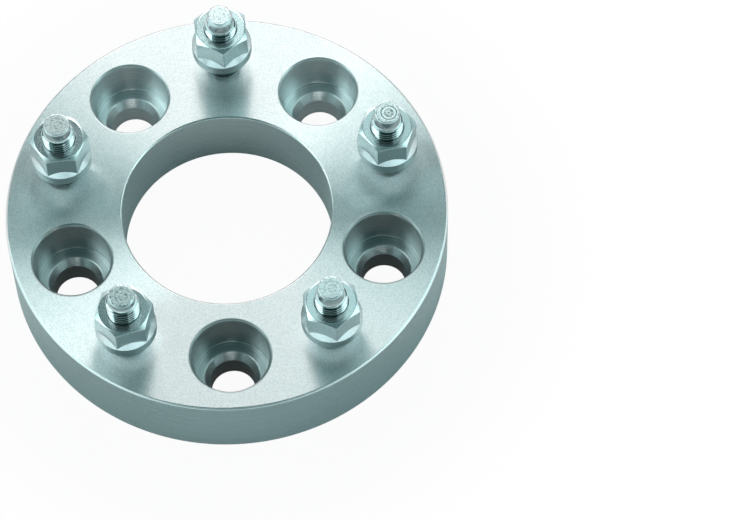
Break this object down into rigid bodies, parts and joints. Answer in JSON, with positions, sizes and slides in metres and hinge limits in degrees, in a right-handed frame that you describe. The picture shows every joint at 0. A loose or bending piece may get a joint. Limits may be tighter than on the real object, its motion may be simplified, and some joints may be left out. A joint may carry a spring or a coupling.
{
  "type": "wheel spacer",
  "caption": "Bolt-on wheel spacer: a thick flat machined disc with a wide centre bore, stepped cone-seat pockets for the hub studs, pressed-in wheel studs and conical lug nuts.",
  "frame": {"origin": "centre of the hub face, on the axis of the centre bore", "axes": "+Z along the bore axis from the hub face towards the wheel; +Y towards the middle of wheel_stud_2"},
  "size_m": [0.164, 0.164, 0.0645],
  "materials": {
    "plate_aluminium": "satin, fine grain",
    "stud_steel": "bright zinc",
    "nut_steel": "bright plated steel"
  },
  "bodies": {
    "root": {"spacer_plate": "plate_aluminium", "wheel_stud_1": "stud_steel", "wheel_stud_2": "stud_steel", "wheel_stud_3": "stud_steel", "wheel_stud_4": "stud_steel", "wheel_stud_5": "stud_steel", "lug_nut_1": "nut_steel", "lug_nut_2": "nut_steel", "lug_nut_3": "nut_steel", "lug_nut_4": "nut_steel", "lug_nut_5": "nut_steel"}
  },
  "joints": []
}
